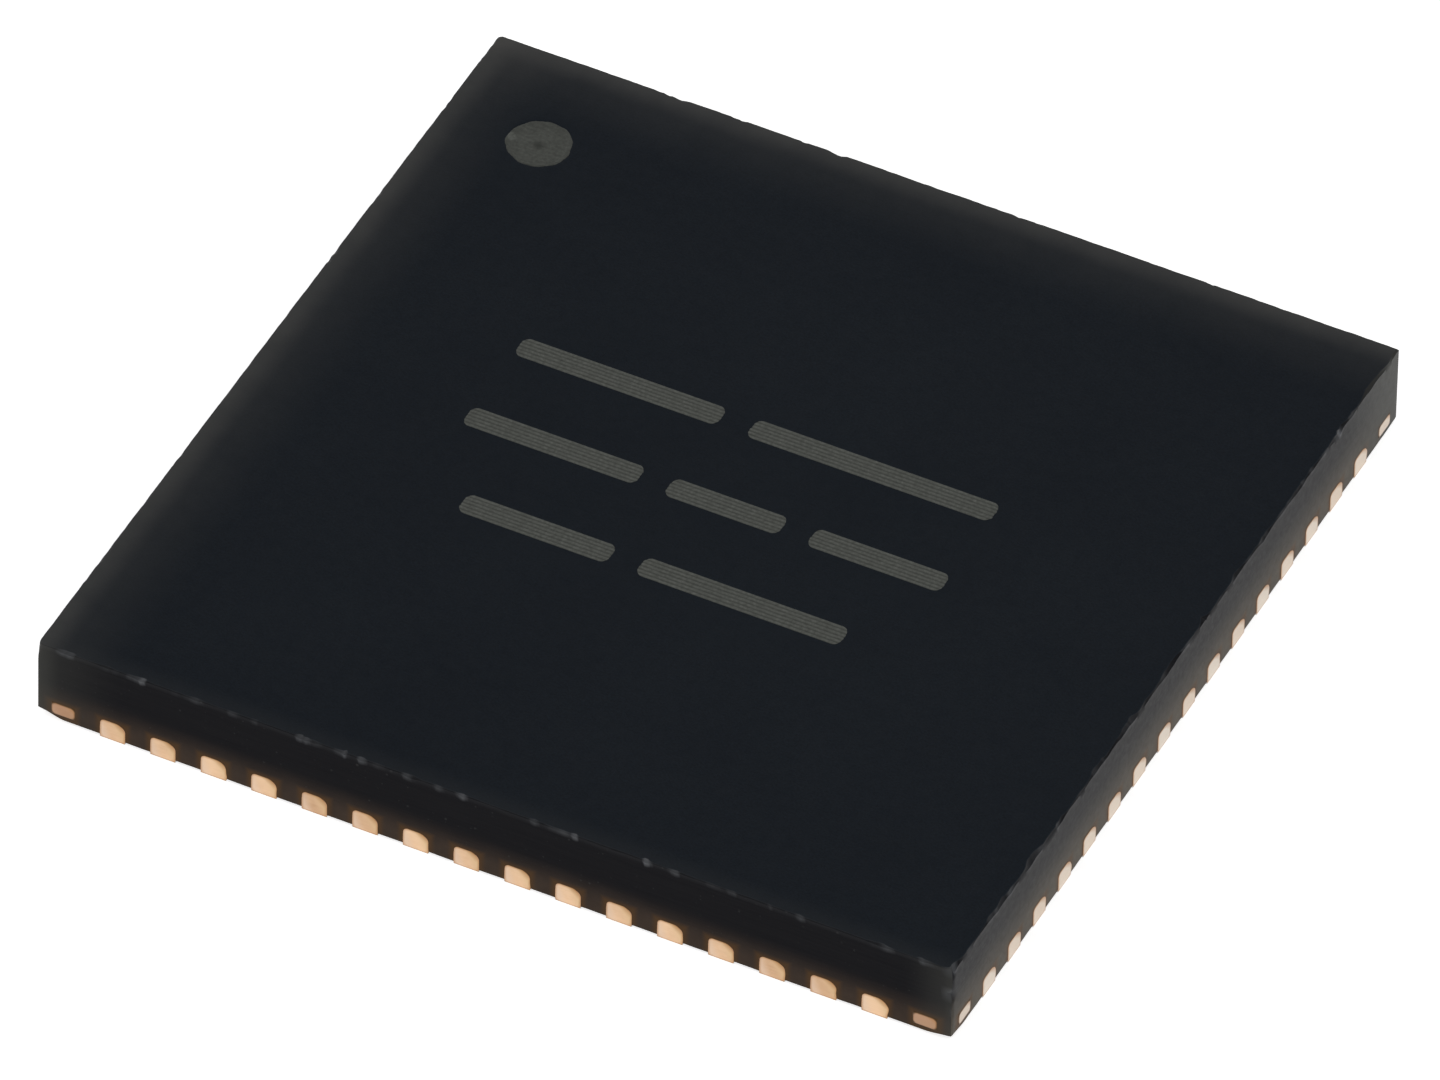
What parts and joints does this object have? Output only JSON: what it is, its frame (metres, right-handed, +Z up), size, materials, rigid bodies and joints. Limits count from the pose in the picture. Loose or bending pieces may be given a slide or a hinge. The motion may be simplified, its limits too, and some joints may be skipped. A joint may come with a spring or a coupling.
{
  "type": "microcontroller",
  "caption": "Square flat leadless microcontroller: black moulded block on an etched copper frame, solder lands along every side and a bare pad below.",
  "frame": {"origin": "centre of the bare pad face on the seating plane", "axes": "+Z up through the moulding, +X towards the east side and +Y towards the north side; lead 1 is at the north end of the west side, and the leads count anticlockwise seen from above"},
  "size_m": [0.009, 0.009, 0.0009],
  "materials": {
    "mould_compound": "matte moulded and sawn black epoxy",
    "copper_frame": "sawn copper ends, matte tin underneath",
    "silicon": "polished silicon",
    "silver_glue": "cured silver-filled glue",
    "bond_wire": "drawn wire"
  },
  "bodies": {
    "root": {"mould_body": "mould_compound", "die_pad": "copper_frame", "leads_west": "copper_frame", "leads_south": "copper_frame", "leads_east": "copper_frame", "leads_north": "copper_frame", "silicon_die": "silicon", "die_attach": "silver_glue", "wires_west": "bond_wire", "wires_south": "bond_wire", "wires_east": "bond_wire", "wires_north": "bond_wire"}
  },
  "joints": []
}
